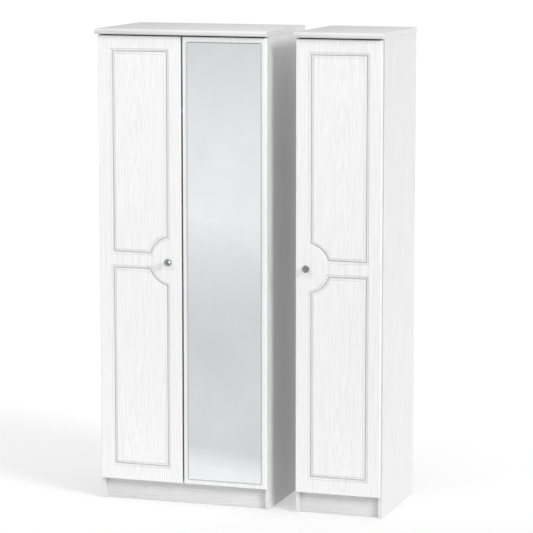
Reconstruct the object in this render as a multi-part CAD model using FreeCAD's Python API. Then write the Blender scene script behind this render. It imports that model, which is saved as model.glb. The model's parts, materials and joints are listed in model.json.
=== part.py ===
import FreeCAD, Part
import math
import os

# A wardrobe in two free-standing cabinets that stand side by side: a double cabinet with a
# panelled door and a mirror door, and a single cabinet with a panelled door.
# Every size is in millimetres. +Z is up, +Y points to the back, +X to the right.
# Each cabinet is drawn in its own frame first: x = 0 is the outer face of its left side
# panel, y = 0 the front edge of its carcass, z = 0 the floor. shared_frame() moves it into
# the frame of the whole wardrobe, whose origin is the middle of its footprint.

V = FreeCAD.Vector

# ---- cabinets -------------------------------------------------------------------------
HEIGHT = 1970.0              # floor to the top face of the top board
DOUBLE_WIDTH = 736.0         # over the side panels
SINGLE_WIDTH = 366.0
CARCASS_DEPTH = 488.0        # front edge to rear edge of a side panel
CABINET_GAP = 116.0          # between the two carcasses
PANEL_T = 15.0               # sides, base, shelves, plinth and rear rail
TOP_T = 22.0
TOP_FRONT_OVERHANG = 42.0
TOP_SIDE_OVERHANG = 2.0
TOP_EDGE_R = 8.0             # rounding along the front of the top board
GLIDE_H = 2.0
GLIDE_R = 6.0
GLIDE_INSET = 40.0           # from the front and rear edges of a side panel
BASE_Z = 90.0                # underside of the base board
PLINTH_SETBACK = 16.0
HAT_SHELF_DROP = 300.0       # clear height above the hat shelf
BACK_T = 3.0
BACK_RECESS = 12.0           # from the rear edges to the back panel
BACK_GROOVE_DEPTH = 6.0
BACK_FIT = 0.1               # clearance on each face of the back panel
BACK_END_GAP = 0.5           # between the back panel's edge and its groove
REAR_RAIL_H = 80.0
WALL_HOLE_R = 2.75           # for the screws that tie a cabinet to the wall
WALL_HOLE_INSET = 90.0       # from the side panel's inner face
LOOSE_SHELF_SETBACK = 20.0
LOOSE_SHELF_GAP = 1.0        # at each end
SHELF_PIN_R = 2.5
SHELF_PIN_OUT = 9.0
SHELF_PIN_IN = 8.0
SHELF_PIN_INSET = 60.0       # from the front and rear of the loose shelf
SHELF_PIN_PITCH = 32.0

# ---- carcass fittings -----------------------------------------------------------------
DOWEL_R = 4.0
DOWEL_IN = 9.0               # into the face of the board it meets
DOWEL_OUT = 21.0             # into the end of its own board
CAM_R = 7.5
CAM_DEPTH = 12.0
CAM_BACKSET = 24.0           # from the board's end to the cam's middle
BOLT_R = 3.0
BOLT_CLEARANCE = 0.5
FITTING_INSET = 60.0         # first dowel, from the front and rear of the board
CAM_OFFSET = 32.0            # from the dowel to the cam beside it

# ---- hanging rail ---------------------------------------------------------------------
RAIL_R = 12.5
RAIL_WALL = 1.5
RAIL_DROP = 45.0             # from the hat shelf's underside to the rail's middle
SOCKET_FLANGE_T = 3.0
SOCKET_DEPTH = 14.0          # side panel to the end of the socket's ring
SOCKET_WALL = 2.5
SOCKET_FIT = 0.1
SOCKET_FLANGE_EDGE = 2.0     # flange past the ring, front and rear
SOCKET_SCREW_CLEAR = 8.0     # from the ring to the middle of each screw
SOCKET_FLANGE_END = 8.0      # flange past the middle of each screw

# ---- screws ---------------------------------------------------------------------------
SCREW_R = 2.0
SCREW_LENGTH = 12.0
SCREW_HEAD_R = 3.5
SCREW_HEAD_T = 1.6

# ---- doors ----------------------------------------------------------------------------
DOOR_T = 18.0
DOOR_GAP = 3.0               # carcass front to the back of the door
DOOR_REVEAL = 4.0            # side panel's outer face to the door's edge
DOOR_MEETING_GAP = 8.0       # between the two doors of the double cabinet
DOOR_TOP_GAP = 6.0           # under the top board
DOOR_EDGE_R = 4.0
PANEL_MARGIN = 51.0          # door edge to the moulding, at the sides and the top
PANEL_MARGIN_BOTTOM = 56.0
MID_RAIL_Z = 1018.0          # middle of the rail between the two raised fields
MID_RAIL_H = 43.0
MOULDING_W = 24.0
MOULDING_DEPTH = 7.5
QUIRK_W = 1.0                # steep step at each edge of the moulding
QUIRK_DEPTH = 1.6
NOTCH_R = 91.0               # sweep of the moulding around the knob
NOTCH_INSET = 40.0           # door edge to the middle of that sweep
CUTTER_OVERRUN = 1.0
BUMPER_R = 4.0
BUMPER_T = 2.5
BUMPER_INSET = 12.0
MIRROR_MARGIN = 20.0
MIRROR_T = 4.0
MIRROR_CORNER_R = 4.0
MIRROR_BEVEL = 1.0
TAPE_T = 1.0
TAPE_INSET = 6.0

# ---- knob -----------------------------------------------------------------------------
KNOB_INSET = 50.0            # door edge to the knob's axis
KNOB_SIDES = 10
KNOB_FLANGE_R = 10.0
KNOB_FLANGE_T = 3.0
KNOB_NECK_R = 5.0
KNOB_NECK_L = 5.0
KNOB_CUP_R = 10.5
KNOB_CUP_L = 5.0
CRYSTAL_R = 16.0
CRYSTAL_SEAT_R = 10.0         # rests in the knob's cup
CRYSTAL_TABLE_R = 9.5
CRYSTAL_BACK_L = 10.0        # seat to the widest belt
CRYSTAL_BELT_L = 3.0
CRYSTAL_FRONT_L = 14.0       # belt to the flat front
KNOB_SCREW_R = 2.0
KNOB_SCREW_CLEARANCE = 0.25
KNOB_SCREW_BITE = 10.0       # thread held in the knob's base
KNOB_SCREW_HEAD_R = 4.0
KNOB_SCREW_HEAD_T = 1.8

# ---- concealed hinges -----------------------------------------------------------------
HINGES_PER_DOOR = 4
HINGE_END_INSET = 100.0      # door end to the first and last hinge
PIVOT_INSET = 7.0            # door edge to the pin
PIVOT_DEPTH = 9.0            # door back to the pin
CUP_R = 17.5
CUP_WALL = 0.8
CUP_EDGE = 3.0               # door edge to the cup
CUP_DEPTH = 13.0
CUP_FLOOR = 1.0
FLANGE_T = 1.0
FLANGE_HALF_W = 9.0
CUP_SCREW_CLEAR = 6.0        # from the cup's edge to the middle of a cup screw
FLANGE_END = 4.5             # flange past the middle of a cup screw
PIN_R = 1.2
PIN_HALF_L = 8.5
PIN_CLEARANCE = 0.05
LUG_GAP = 0.5                # between the eye of the arm and the lugs that hold the pin
LUG_R = 3.0                  # lug material around the pin
EYE_R = 2.25
ARM_HALF_W = 4.5
CRANK_BACK = 1.0             # from the pin's axis to the side of the crank facing the carcass
ARM_T = 2.5
ARM_LENGTH = 50.0            # behind the carcass front
PLATE_T = 8.0
PLATE_RIB_HALF_W = 7.0
PLATE_FRONT = 6.0
PLATE_LENGTH = 48.0
WING_T = 2.0
WING_HALF_H = 24.0
WING_FRONT = 22.0
WING_LENGTH = 26.0
WING_SCREW_SPREAD = 16.0
ARM_SCREW_BACK = 42.0

# ---- levels and lengths that follow from the sizes above --------------------------------
SIDE_TOP_Z = HEIGHT - TOP_T
DOOR_Z0 = BASE_Z
DOOR_Z1 = SIDE_TOP_Z - DOOR_TOP_GAP
DOOR_BACK_Y = -DOOR_GAP
DOOR_FRONT_Y = DOOR_BACK_Y - DOOR_T
HAT_SHELF_Z = SIDE_TOP_Z - HAT_SHELF_DROP - PANEL_T
BACK_Y0 = CARCASS_DEPTH - BACK_RECESS - BACK_T
BACK_Y1 = CARCASS_DEPTH - BACK_RECESS
RAIL_Y = BACK_Y0 / 2
RAIL_Z = HAT_SHELF_Z - RAIL_DROP
SOCKET_RING_R = RAIL_R + SOCKET_FIT + SOCKET_WALL
SOCKET_FLANGE_W = 2 * (SOCKET_RING_R + SOCKET_FLANGE_EDGE)
SOCKET_SCREW_SPREAD = SOCKET_RING_R + SOCKET_SCREW_CLEAR
SOCKET_FLANGE_H = 2 * (SOCKET_SCREW_SPREAD + SOCKET_FLANGE_END)
KNOB_BASE_L = KNOB_FLANGE_T + KNOB_NECK_L + KNOB_CUP_L
CRYSTAL_L = CRYSTAL_BACK_L + CRYSTAL_BELT_L + CRYSTAL_FRONT_L
KNOB_FRONT_Y = DOOR_FRONT_Y - KNOB_BASE_L - CRYSTAL_L
PIVOT = V(DOOR_REVEAL + PIVOT_INSET, DOOR_BACK_Y - PIVOT_DEPTH, 0)
CUP_X = DOOR_REVEAL + CUP_EDGE + CUP_R
CUP_SCREW_SPREAD = CUP_R + CUP_SCREW_CLEAR
FLANGE_HALF_H = CUP_SCREW_SPREAD + FLANGE_END
HINGE_PITCH = (DOOR_Z1 - DOOR_Z0 - 2 * HINGE_END_INSET) / (HINGES_PER_DOOR - 1)
HINGE_LEVELS = [DOOR_Z0 + HINGE_END_INSET + i * HINGE_PITCH for i in range(HINGES_PER_DOOR)]
LOOSE_SHELF_LEVELS = [(low + high) / 2 for low, high in zip(HINGE_LEVELS[:2], HINGE_LEVELS[1:3])]
TOTAL_WIDTH = DOUBLE_WIDTH + CABINET_GAP + SINGLE_WIDTH

nodes = {}


# ---- small helpers --------------------------------------------------------------------
def box(x0, x1, y0, y1, z0, z1):
    """A block between two corners."""
    return Part.makeBox(x1 - x0, y1 - y0, z1 - z0, V(x0, y0, z0))


def rod(radius, start, end):
    """A round bar from one point to another."""
    return Part.makeCylinder(radius, start.distanceToPoint(end), start, end - start)


def frame_at(origin, x_axis, z_axis):
    """The placement that turns a fitting's own x and z axes to the given ones."""
    rotation = FreeCAD.Rotation(x_axis, z_axis.cross(x_axis), z_axis, "XZY")
    return FreeCAD.Placement(origin, rotation)


def placed(shape, placement):
    """A copy of the shape in another place."""
    copy = shape.copy()
    copy.Placement = placement.multiply(copy.Placement)
    return copy


def raised(shape, height):
    """A copy of the shape moved up."""
    return shape.translated(V(0, 0, height))


def flipped(shape, width):
    """The shape reflected from the left side of a cabinet to its right side."""
    return shape.mirror(V(width / 2, 0, 0), V(1, 0, 0))


def screw(head_seat, direction):
    """A pan-head screw whose head sits at a point and whose shank runs along a direction."""
    shank = rod(SCREW_R, head_seat, head_seat + direction * SCREW_LENGTH)
    head = rod(SCREW_HEAD_R, head_seat - direction * SCREW_HEAD_T, head_seat)
    return head.fuse(shank).removeSplitter()


def shared_frame(shape, cabinet_x):
    """A cabinet's shape moved into the frame of the whole wardrobe."""
    return shape.translated(V(cabinet_x - TOTAL_WIDTH / 2, -(CARCASS_DEPTH + KNOB_FRONT_Y) / 2, 0))


def keep(name, solids, cabinet_x):
    """Files solids under a node's name."""
    nodes.setdefault(name, []).extend(shared_frame(solid, cabinet_x) for solid in solids)


# ---- joints between boards --------------------------------------------------------------
class BoardJoint:
    """Dowel, cam and bolt between the end of one board and the face of another.

    The fitting's own frame has its origin on that face, x running into the ended board and
    z across its thickness; the cam is let into the board's lower face.
    """

    def __init__(self):
        self.dowels = []
        self.cams = []
        self.bolts = []

    def add(self, placement, ended_cuts, faced_cuts, with_cam=True):
        dowel = rod(DOWEL_R, V(-DOWEL_IN, 0, 0), V(DOWEL_OUT, 0, 0))
        dowel = placed(dowel, placement)
        self.dowels.append(dowel)
        ended_cuts.append(dowel)
        faced_cuts.append(dowel)
        if with_cam:
            self.add_cam(placement, ended_cuts, faced_cuts)

    def add_cam(self, placement, ended_cuts, faced_cuts):
        y = CAM_OFFSET
        bolt = rod(BOLT_R, V(-DOWEL_IN, y, 0), V(CAM_BACKSET, y, 0))
        housing = rod(CAM_R, V(CAM_BACKSET, y, -PANEL_T / 2), V(CAM_BACKSET, y, CAM_DEPTH - PANEL_T / 2))
        passage = rod(BOLT_R + BOLT_CLEARANCE, V(0, y, 0), V(CAM_BACKSET, y, 0))
        self.bolts.append(placed(bolt, placement))
        self.cams.append(placed(housing.cut(bolt), placement))
        ended_cuts.extend([placed(housing, placement), placed(passage, placement)])
        faced_cuts.append(placed(bolt, placement))


class Cabinet:
    """One carcass, with everything that stays with it when a door opens."""

    def __init__(self, name, width, x):
        self.name = name
        self.width = width
        self.x = x
        self.joints = BoardJoint()
        self.left_cuts = []
        self.right_cuts = []
        self.top_cuts = []

    def keep(self, part_name, *solids):
        keep(f"{self.name}_{part_name}", solids, self.x)

    def end_joints(self, level, front, rear, cuts, with_cam=True):
        """Fittings at both ends of a level board, front and rear."""
        for end_x, into, side_cuts in ((PANEL_T, 1, self.left_cuts),
                                       (self.width - PANEL_T, -1, self.right_cuts)):
            for edge_y, inward in ((front + FITTING_INSET, 1), (rear - FITTING_INSET, -1)):
                up = V(0, 0, 1)
                start = V(end_x, edge_y, level + PANEL_T / 2)
                place = frame_at(start, V(into, 0, 0), up)
                if into * inward < 0:
                    place = frame_at(start + V(0, inward * CAM_OFFSET, 0), V(into, 0, 0), up)
                self.joints.add(place, cuts, side_cuts, with_cam)

    def make_level_board(self, part_name, level):
        """A board fixed between the sides, from the carcass front to the back panel."""
        board = box(PANEL_T, self.width - PANEL_T, 0, BACK_Y0, level, level + PANEL_T)
        cuts = []
        self.end_joints(level, 0, BACK_Y0, cuts)
        self.keep(part_name, board.cut(cuts))

    def make_plinth(self):
        plinth_y1 = PLINTH_SETBACK + PANEL_T
        board = box(PANEL_T, self.width - PANEL_T, PLINTH_SETBACK, plinth_y1, GLIDE_H, BASE_Z)
        cuts = []
        for height in (BASE_Z / 3, 2 * BASE_Z / 3):
            for end_x, into, side_cuts in ((PANEL_T, 1, self.left_cuts),
                                           (self.width - PANEL_T, -1, self.right_cuts)):
                start = V(end_x, PLINTH_SETBACK + PANEL_T / 2, height)
                place = frame_at(start, V(into, 0, 0), V(0, 0, 1))
                self.joints.add(place, cuts, side_cuts, with_cam=False)
        self.keep("plinth", board.cut(cuts))

    def make_rear_rail(self):
        """The rail under the top board, through which the cabinet is tied to the wall."""
        z0 = SIDE_TOP_Z - REAR_RAIL_H
        board = box(PANEL_T, self.width - PANEL_T, BACK_Y0 - PANEL_T, BACK_Y0, z0, SIDE_TOP_Z)
        cuts = self.wall_holes()
        for height in (z0 + REAR_RAIL_H / 4, z0 + 3 * REAR_RAIL_H / 4):
            for end_x, into, side_cuts in ((PANEL_T, 1, self.left_cuts),
                                           (self.width - PANEL_T, -1, self.right_cuts)):
                start = V(end_x, BACK_Y0 - PANEL_T / 2, height)
                place = frame_at(start, V(into, 0, 0), V(0, 0, 1))
                self.joints.add(place, cuts, side_cuts, with_cam=False)
        self.keep("rear_rail", board.cut(cuts))

    def wall_holes(self):
        z = SIDE_TOP_Z - REAR_RAIL_H / 2
        inset = PANEL_T + WALL_HOLE_INSET
        return [rod(WALL_HOLE_R, V(x, BACK_Y0 - PANEL_T, z), V(x, BACK_Y1, z))
                for x in (inset, self.width - inset)]

    def make_back(self):
        side = PANEL_T - BACK_GROOVE_DEPTH + BACK_END_GAP
        top = SIDE_TOP_Z + BACK_GROOVE_DEPTH - BACK_END_GAP
        board = box(side, self.width - side, BACK_Y0, BACK_Y1, BASE_Z, top)
        self.keep("back", board.cut(self.wall_holes()))

    def back_groove(self):
        """The room that the sides and the top leave for the back panel."""
        side = PANEL_T - BACK_GROOVE_DEPTH
        return box(side, self.width - side, BACK_Y0 - BACK_FIT, BACK_Y1 + BACK_FIT,
                   BASE_Z - BACK_END_GAP, SIDE_TOP_Z + BACK_GROOVE_DEPTH)

    def top_joints(self):
        """Upright dowels and cam bolts from the sides into the top board."""
        for mid_x, inner, side_cuts in ((PANEL_T / 2, 1, self.left_cuts),
                                        (self.width - PANEL_T / 2, -1, self.right_cuts)):
            across = V(-inner, 0, 0)
            down = V(0, 0, -1)
            for edge_y, inward in ((FITTING_INSET, 1), (BACK_Y0 - FITTING_INSET, -1)):
                start = V(mid_x, edge_y, SIDE_TOP_Z)
                place = frame_at(start, down, across)
                if place.Rotation.multVec(V(0, inward, 0)).y < 0:
                    place = frame_at(start + V(0, inward * CAM_OFFSET, 0), down, across)
                self.joints.add(place, side_cuts, self.top_cuts)

    def make_top(self):
        front = -TOP_FRONT_OVERHANG
        board = box(-TOP_SIDE_OVERHANG, self.width + TOP_SIDE_OVERHANG, front, CARCASS_DEPTH,
                    SIDE_TOP_Z, HEIGHT)
        front_edges = [edge for edge in board.Edges
                       if edge.BoundBox.YMax < front + TOP_EDGE_R and edge.BoundBox.ZLength < TOP_EDGE_R]
        board = board.makeFillet(TOP_EDGE_R, front_edges)
        self.keep("top", board.cut(self.top_cuts + [self.back_groove()]))

    def make_sides(self):
        groove = self.back_groove()
        left = box(0, PANEL_T, 0, CARCASS_DEPTH, GLIDE_H, SIDE_TOP_Z)
        right = box(self.width - PANEL_T, self.width, 0, CARCASS_DEPTH, GLIDE_H, SIDE_TOP_Z)
        self.keep("left_side", left.cut(self.left_cuts + [groove]))
        self.keep("right_side", right.cut(self.right_cuts + [groove]))

    def make_glides(self):
        for x in (PANEL_T / 2, self.width - PANEL_T / 2):
            for y in (GLIDE_INSET, CARCASS_DEPTH - GLIDE_INSET):
                self.keep("glides", rod(GLIDE_R, V(x, y, 0), V(x, y, GLIDE_H)))

    def make_fittings(self):
        self.keep("dowels", *self.joints.dowels)
        self.keep("cams", *self.joints.cams)
        self.keep("cam_bolts", *self.joints.bolts)

    def make_hanging_rail(self):
        x0 = PANEL_T + SOCKET_FLANGE_T
        x1 = self.width - x0
        start = V(x0, RAIL_Y, RAIL_Z)
        end = V(x1, RAIL_Y, RAIL_Z)
        tube = rod(RAIL_R, start, end).cut(rod(RAIL_R - RAIL_WALL, start, end))
        keep("hanging_rail", [tube], self.x)
        socket = rail_socket()
        screws = rail_socket_screws()
        self.left_cuts.extend(screws)
        self.right_cuts.extend(flipped(shape, self.width) for shape in screws)
        keep("hanging_rail_sockets", [socket, flipped(socket, self.width)], self.x)
        for shape in screws:
            keep("hanging_rail_screws", [shape, flipped(shape, self.width)], self.x)

    def make_loose_shelves(self):
        x0 = PANEL_T + LOOSE_SHELF_GAP
        rear = BACK_Y0 - LOOSE_SHELF_GAP
        for part_name, level in zip(("lower_shelf", "upper_shelf"), LOOSE_SHELF_LEVELS):
            self.keep(part_name, box(x0, self.width - x0, LOOSE_SHELF_SETBACK, rear, level, level + PANEL_T))
            pin_z = level - SHELF_PIN_R
            for y in (LOOSE_SHELF_SETBACK + SHELF_PIN_INSET, rear - SHELF_PIN_INSET):
                pin_end = V(PANEL_T + SHELF_PIN_OUT, y, pin_z)
                pin = rod(SHELF_PIN_R, V(PANEL_T - SHELF_PIN_IN, y, pin_z), pin_end)
                self.keep("shelf_pins", pin, flipped(pin, self.width))
                for step in (-1, 0, 1):
                    hole = raised(pin, step * SHELF_PIN_PITCH)
                    self.left_cuts.append(hole)
                    self.right_cuts.append(flipped(hole, self.width))

    def make_hinge_mounts(self, right_hand):
        """Plates, screws and arms for one door; the arms reach into the door's cups."""
        plate, arm, screws = hinge_mount()
        for level in HINGE_LEVELS:
            for part_name, shapes in (("hinge_plates", [plate]), ("hinge_arms", [arm]),
                                      ("hinge_screws", screws)):
                for shape in shapes:
                    solid = raised(shape, level)
                    self.keep(part_name, flipped(solid, self.width) if right_hand else solid)
            for shape in screws:
                solid = raised(shape, level)
                if right_hand:
                    self.right_cuts.append(flipped(solid, self.width))
                else:
                    self.left_cuts.append(solid)

    def build(self):
        """Boards first, so that the sides and the top know every hole they need."""
        self.make_level_board("base", BASE_Z)
        self.make_level_board("hat_shelf", HAT_SHELF_Z)
        self.make_plinth()
        self.make_rear_rail()
        self.make_back()
        self.top_joints()
        self.make_top()
        self.make_sides()
        self.make_glides()
        self.make_fittings()


# ---- hanging rail fittings --------------------------------------------------------------
def rail_socket():
    """The left socket: a screwed flange with a ring around the rail's end."""
    flange = box(PANEL_T, PANEL_T + SOCKET_FLANGE_T, RAIL_Y - SOCKET_FLANGE_W / 2,
                 RAIL_Y + SOCKET_FLANGE_W / 2, RAIL_Z - SOCKET_FLANGE_H / 2, RAIL_Z + SOCKET_FLANGE_H / 2)
    corners = [edge for edge in flange.Edges if edge.BoundBox.XLength > SOCKET_FLANGE_T / 2]
    flange = flange.makeFillet(SOCKET_FLANGE_W / 3, corners)
    ring_start = V(PANEL_T + SOCKET_FLANGE_T, RAIL_Y, RAIL_Z)
    ring_end = V(PANEL_T + SOCKET_DEPTH, RAIL_Y, RAIL_Z)
    bore = rod(RAIL_R + SOCKET_FIT, ring_start, ring_end)
    ring = rod(SOCKET_RING_R, ring_start, ring_end).cut(bore)
    return flange.fuse(ring).cut(rail_socket_screws()).removeSplitter()


def rail_socket_screws():
    seat_x = PANEL_T + SOCKET_FLANGE_T
    return [screw(V(seat_x, RAIL_Y, RAIL_Z + side * SOCKET_SCREW_SPREAD), V(-1, 0, 0)) for side in (-1, 1)]


# ---- concealed hinge, drawn for a door hung on the left side panel ------------------------
def hinge_mount():
    """Mounting plate, cranked arm and their screws, level with z = 0."""
    plate_x = PANEL_T + PLATE_T
    rib = box(PANEL_T, plate_x, PLATE_FRONT, PLATE_FRONT + PLATE_LENGTH, -PLATE_RIB_HALF_W, PLATE_RIB_HALF_W)
    wings = box(PANEL_T, PANEL_T + WING_T, WING_FRONT, WING_FRONT + WING_LENGTH, -WING_HALF_H, WING_HALF_H)
    wing_screw_y = WING_FRONT + WING_LENGTH / 2
    screws = [screw(V(PANEL_T + WING_T, wing_screw_y, side * WING_SCREW_SPREAD), V(-1, 0, 0))
              for side in (-1, 1)]
    screws.append(screw(V(plate_x + ARM_T, ARM_SCREW_BACK, 0), V(-1, 0, 0)))
    plate = rib.fuse(wings).removeSplitter().cut(screws)

    tip_y = PIVOT.y - EYE_R
    leg = box(plate_x, plate_x + ARM_T, tip_y, ARM_LENGTH, -ARM_HALF_W, ARM_HALF_W)
    crank = box(PIVOT.x, plate_x + ARM_T, tip_y, PIVOT.y + CRANK_BACK, -ARM_HALF_W, ARM_HALF_W)
    eye = rod(EYE_R, PIVOT - V(0, 0, ARM_HALF_W), PIVOT + V(0, 0, ARM_HALF_W))
    bore = rod(PIN_R + PIN_CLEARANCE, PIVOT - V(0, 0, ARM_HALF_W), PIVOT + V(0, 0, ARM_HALF_W))
    arm = leg.fuse([crank, eye]).removeSplitter().cut([bore, screws[-1]])
    return plate, arm, screws


def hinge_cup():
    """Cup, pin and cup screws of one hinge, and the room they need in the door."""
    back = V(CUP_X, DOOR_BACK_Y, 0)
    body = rod(CUP_R, back, back - V(0, CUP_DEPTH, 0))
    flange = box(CUP_X - FLANGE_HALF_W, CUP_X + FLANGE_HALF_W, DOOR_BACK_Y, DOOR_BACK_Y + FLANGE_T,
                 -FLANGE_HALF_H, FLANGE_HALF_H)
    rim = rod(CUP_R, back, back + V(0, FLANGE_T, 0))
    cavity = rod(CUP_R - CUP_WALL, back + V(0, FLANGE_T, 0), back - V(0, CUP_DEPTH - CUP_FLOOR, 0))
    lug_z = ARM_HALF_W + LUG_GAP
    lugs = [box(CUP_X - CUP_R, PIVOT.x + LUG_R, DOOR_BACK_Y - CUP_DEPTH, PIVOT.y + LUG_R, z0, z1)
            for z0, z1 in ((-CUP_R, -lug_z), (lug_z, CUP_R))]
    cavity = cavity.cut(lugs)
    pin = rod(PIN_R, PIVOT - V(0, 0, PIN_HALF_L), PIVOT + V(0, 0, PIN_HALF_L))
    screws = [screw(V(CUP_X, DOOR_BACK_Y + FLANGE_T, side * CUP_SCREW_SPREAD), V(0, -1, 0))
              for side in (-1, 1)]
    cup = body.fuse([flange, rim]).removeSplitter().cut([cavity, pin] + screws)
    return cup, pin, screws, [body] + screws


# ---- doors, drawn for hinges on the left ------------------------------------------------
def panel_outline(x0, x1, z_far, z_near, inset, y):
    """Outline of a raised field with one corner swept around the knob.

    z_near is the edge beside the middle rail and z_far the other one. The sweep is an arc
    about the notch's centre that takes away the corner at x1, z_near.
    """
    toward = 1 if z_far > z_near else -1
    left = x0 + inset
    right = x1 - inset
    near = z_near + toward * inset
    far = z_far - toward * inset
    centre_x = x1 + PANEL_MARGIN - NOTCH_INSET
    radius = NOTCH_R + inset
    arc_x = centre_x - math.sqrt(radius ** 2 - (near - MID_RAIL_Z) ** 2)
    arc_z = MID_RAIL_Z + toward * math.sqrt(radius ** 2 - (centre_x - right) ** 2)
    start_angle = math.atan2(near - MID_RAIL_Z, arc_x - centre_x)
    end_angle = math.atan2(arc_z - MID_RAIL_Z, right - centre_x)
    if toward < 0:
        start_angle += 2 * math.pi
        end_angle += 2 * math.pi
    middle = (start_angle + end_angle) / 2
    arc_mid = V(centre_x + radius * math.cos(middle), y, MID_RAIL_Z + radius * math.sin(middle))
    corners = [V(left, y, near), V(arc_x, y, near), V(right, y, arc_z), V(right, y, far), V(left, y, far)]
    return Part.Wire([
        Part.makeLine(corners[0], corners[1]),
        Part.Arc(corners[1], arc_mid, corners[2]).toShape(),
        Part.makeLine(corners[2], corners[3]),
        Part.makeLine(corners[3], corners[4]),
        Part.makeLine(corners[4], corners[0]),
    ])


def moulding(x0, x1, z_far, z_near):
    """The routed groove around a raised field, as the solid that the cutter takes away."""
    def stack(insets_and_depths):
        wires = [panel_outline(x0, x1, z_far, z_near, inset, DOOR_FRONT_Y + depth)
                 for inset, depth in insets_and_depths]
        return Part.makeLoft(wires, True, True)

    middle = (MOULDING_W / 2, MOULDING_DEPTH)
    outer = stack([(0, -CUTTER_OVERRUN), (0, 0), (QUIRK_W, QUIRK_DEPTH), middle])
    field = stack([(MOULDING_W, -CUTTER_OVERRUN), (MOULDING_W, 0),
                   (MOULDING_W - QUIRK_W, QUIRK_DEPTH), middle])
    return outer.cut(field)


def door_blank(x0, x1):
    """A door board with its front edges rounded."""
    board = box(x0, x1, DOOR_FRONT_Y, DOOR_BACK_Y, DOOR_Z0, DOOR_Z1)
    front_edges = [edge for edge in board.Edges if edge.BoundBox.YMax < DOOR_FRONT_Y + DOOR_EDGE_R]
    return board.makeFillet(DOOR_EDGE_R, front_edges)


def knob(axis_x):
    """Crystal, base and screw of a knob, and the hole that the screw needs in the door."""
    face = V(axis_x, DOOR_FRONT_Y, MID_RAIL_Z)
    flange_end = face - V(0, KNOB_FLANGE_T, 0)
    neck_end = flange_end - V(0, KNOB_NECK_L, 0)
    cup_end = neck_end - V(0, KNOB_CUP_L, 0)
    flange = rod(KNOB_FLANGE_R, face, flange_end)
    neck = rod(KNOB_NECK_R, flange_end, neck_end)
    cup = Part.makeCone(KNOB_NECK_R, KNOB_CUP_R, KNOB_CUP_L, neck_end, V(0, -1, 0))
    head_seat = V(axis_x, DOOR_BACK_Y, MID_RAIL_Z)
    shank_end = face - V(0, KNOB_SCREW_BITE, 0)
    shank = rod(KNOB_SCREW_R, head_seat, shank_end)
    head = rod(KNOB_SCREW_HEAD_R, head_seat, head_seat + V(0, KNOB_SCREW_HEAD_T, 0))
    base = flange.fuse([neck, cup]).removeSplitter().cut(shank)
    hole = rod(KNOB_SCREW_R + KNOB_SCREW_CLEARANCE, head_seat, face)

    belt_y = cup_end.y - CRYSTAL_BACK_L
    sections = [(CRYSTAL_SEAT_R, cup_end.y), (CRYSTAL_R, belt_y), (CRYSTAL_R, belt_y - CRYSTAL_BELT_L),
                (CRYSTAL_TABLE_R, cup_end.y - CRYSTAL_L)]
    crystal = Part.makeLoft([polygon(axis_x, y, radius) for radius, y in sections], True, True)
    return crystal, base, head.fuse(shank).removeSplitter(), hole


def polygon(axis_x, y, radius):
    """A regular outline around a knob's axis."""
    turns = [2 * math.pi * (i + 0.5) / KNOB_SIDES for i in range(KNOB_SIDES)]
    points = [V(axis_x + radius * math.cos(turn), y, MID_RAIL_Z + radius * math.sin(turn)) for turn in turns]
    return Part.makePolygon(points + points[:1])


def mirror_plate(x0, x1):
    """Mirror glass and the tape that bonds it to the door's face."""
    glass_back = DOOR_FRONT_Y - TAPE_T
    z0 = DOOR_Z0 + MIRROR_MARGIN
    z1 = DOOR_Z1 - MIRROR_MARGIN
    left = x0 + MIRROR_MARGIN
    right = x1 - MIRROR_MARGIN
    glass = box(left, right, glass_back - MIRROR_T, glass_back, z0, z1)
    corners = [edge for edge in glass.Edges if edge.BoundBox.YLength > MIRROR_T / 2]
    glass = glass.makeFillet(MIRROR_CORNER_R, corners)
    front_edges = [edge for edge in glass.Edges if edge.BoundBox.YMax < glass_back - MIRROR_T / 2]
    glass = glass.makeChamfer(MIRROR_BEVEL, front_edges)
    tape = box(left + TAPE_INSET, right - TAPE_INSET, glass_back, DOOR_FRONT_Y,
               z0 + TAPE_INSET, z1 - TAPE_INSET)
    return glass, tape


def make_door(name, cabinet, width, right_hand, mirrored_glass):
    """One door with all that swings with it."""
    x0 = DOOR_REVEAL
    x1 = x0 + width
    parts = {}
    cuts = []
    cup, pin, screws, room = hinge_cup()
    for level in HINGE_LEVELS:
        parts.setdefault("hinge_cups", []).append(raised(cup, level))
        parts.setdefault("hinge_pins", []).append(raised(pin, level))
        parts.setdefault("cup_screws", []).extend(raised(shape, level) for shape in screws)
        cuts.extend(raised(shape, level) for shape in room)
    bumper_levels = (BASE_Z + PANEL_T / 2, HAT_SHELF_Z + PANEL_T / 2)
    parts["bumpers"] = [rod(BUMPER_R, V(x1 - BUMPER_INSET, DOOR_BACK_Y, z),
                            V(x1 - BUMPER_INSET, DOOR_BACK_Y + BUMPER_T, z)) for z in bumper_levels]
    if mirrored_glass:
        glass, tape = mirror_plate(x0, x1)
        parts["glass"] = [glass]
        parts["glass_tape"] = [tape]
    else:
        field_x0 = x0 + PANEL_MARGIN
        field_x1 = x1 - PANEL_MARGIN
        cuts.append(moulding(field_x0, field_x1, DOOR_Z1 - PANEL_MARGIN, MID_RAIL_Z + MID_RAIL_H / 2))
        cuts.append(moulding(field_x0, field_x1, DOOR_Z0 + PANEL_MARGIN_BOTTOM, MID_RAIL_Z - MID_RAIL_H / 2))
        crystal, base, knob_screw, hole = knob(x1 - KNOB_INSET)
        parts["knob_crystal"] = [crystal]
        parts["knob_base"] = [base]
        parts["knob_screw"] = [knob_screw]
        cuts.append(hole)
    parts["panel"] = [door_blank(x0, x1).cut(cuts)]
    for part_name, solids in parts.items():
        if right_hand:
            solids = [flipped(solid, cabinet.width) for solid in solids]
        keep(f"{name}_{part_name}", solids, cabinet.x)


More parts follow.
